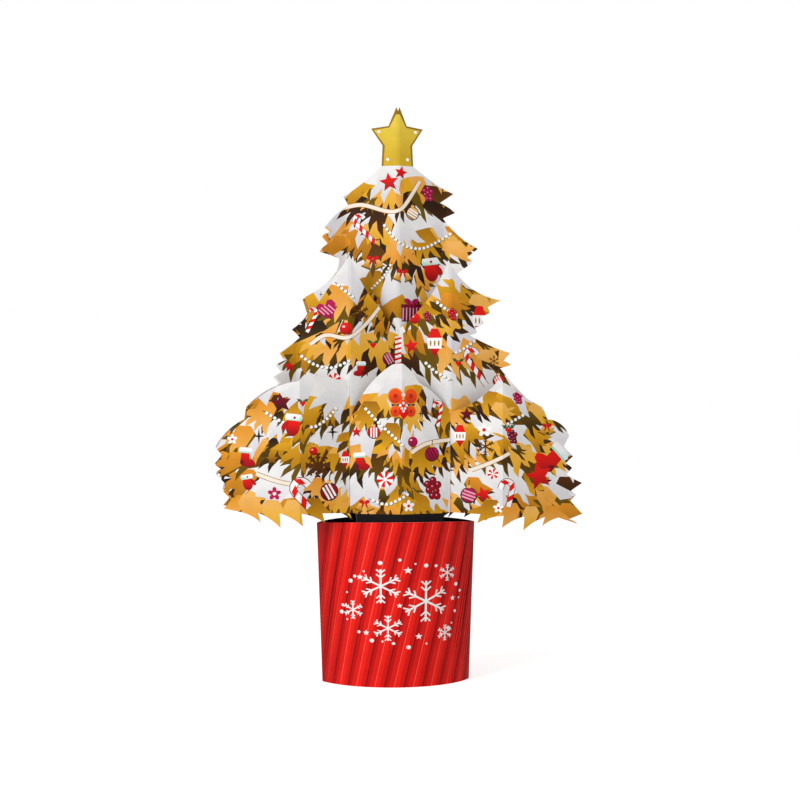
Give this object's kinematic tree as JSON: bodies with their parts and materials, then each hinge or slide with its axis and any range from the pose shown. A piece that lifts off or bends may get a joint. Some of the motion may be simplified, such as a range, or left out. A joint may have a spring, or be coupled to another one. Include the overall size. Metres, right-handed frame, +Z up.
{
  "type": "pop-up christmas tree card",
  "caption": "Free-standing folded card that opens into a leafy tree of layered die-cut sheets with a star on top, standing in a tapered card pot.",
  "frame": {"origin": "middle of the pot's foot, on the surface that the card stands on", "axes": "+Z up along the trunk, -Y towards the front with the star's printed face, +X to the right seen from the front"},
  "size_m": [0.192, 0.054, 0.2995],
  "materials": {
    "pot_card": "satin",
    "floor_card": "matte",
    "tree_card": "satin"
  },
  "bodies": {
    "root": {"pot_sleeve": "pot_card", "pot_floor": "floor_card", "front_high": "tree_card", "front_middle_left": "tree_card", "front_middle_right": "tree_card", "front_low_left": "tree_card", "front_low_centre": "tree_card", "front_low_right": "tree_card", "back_high": "tree_card", "back_middle_left": "tree_card", "back_middle_right": "tree_card", "back_low_left": "tree_card", "back_low_centre": "tree_card", "back_low_right": "tree_card"}
  },
  "joints": []
}
